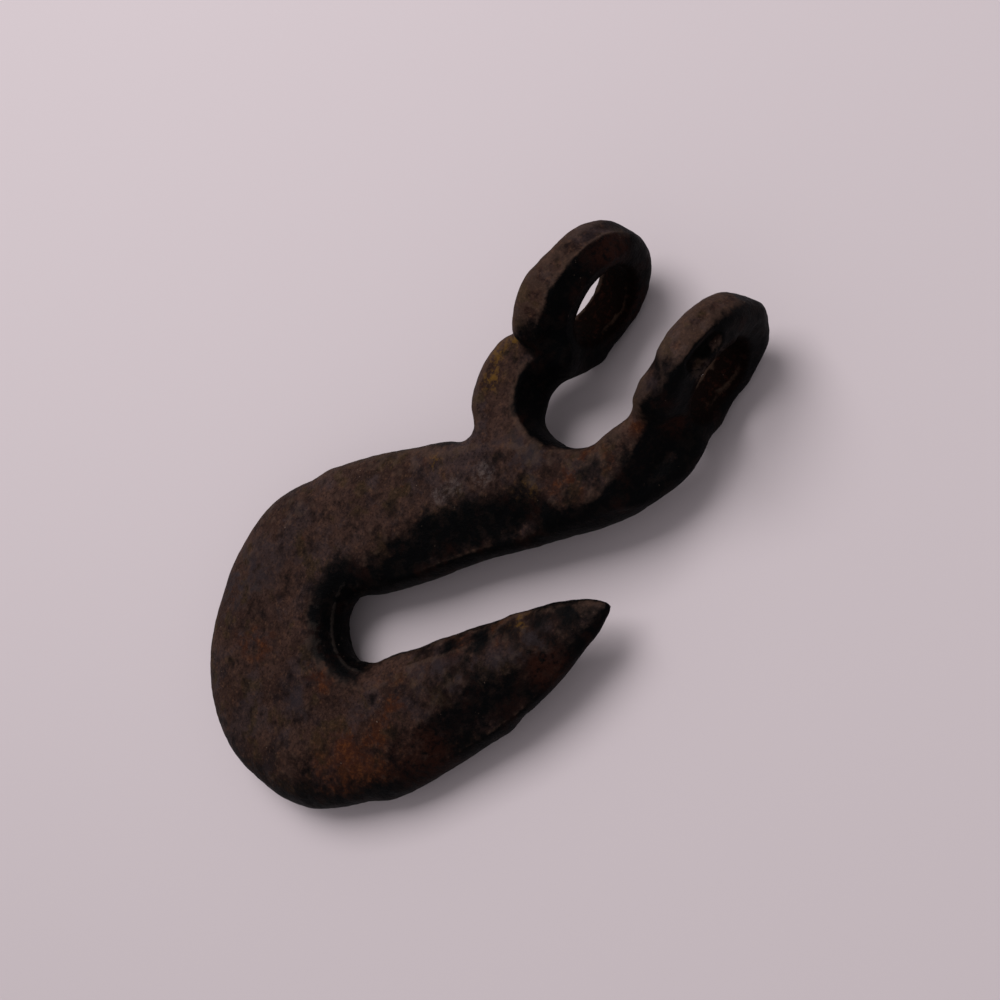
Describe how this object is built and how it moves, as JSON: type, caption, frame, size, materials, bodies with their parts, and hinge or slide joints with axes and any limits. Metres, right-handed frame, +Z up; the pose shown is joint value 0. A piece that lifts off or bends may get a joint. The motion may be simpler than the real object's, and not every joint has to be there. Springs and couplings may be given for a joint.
{
  "type": "barn hook",
  "caption": "One-piece forged iron hook with a tapered beak and a forked shank that ends in two upright pin eyes.",
  "frame": {"origin": "centre of the pin bore, midway between the inner faces of the two eyes", "axes": "+Y along the pin axis, from the right eye to the left eye; +X from the bow towards the eyes; +Z up as the hook lies on a table"},
  "size_m": [0.1672, 0.0987, 0.0351],
  "materials": {
    "iron": "rough forged surface, dark brown scale with rust"
  },
  "bodies": {
    "root": {"hook": "iron"}
  },
  "joints": []
}
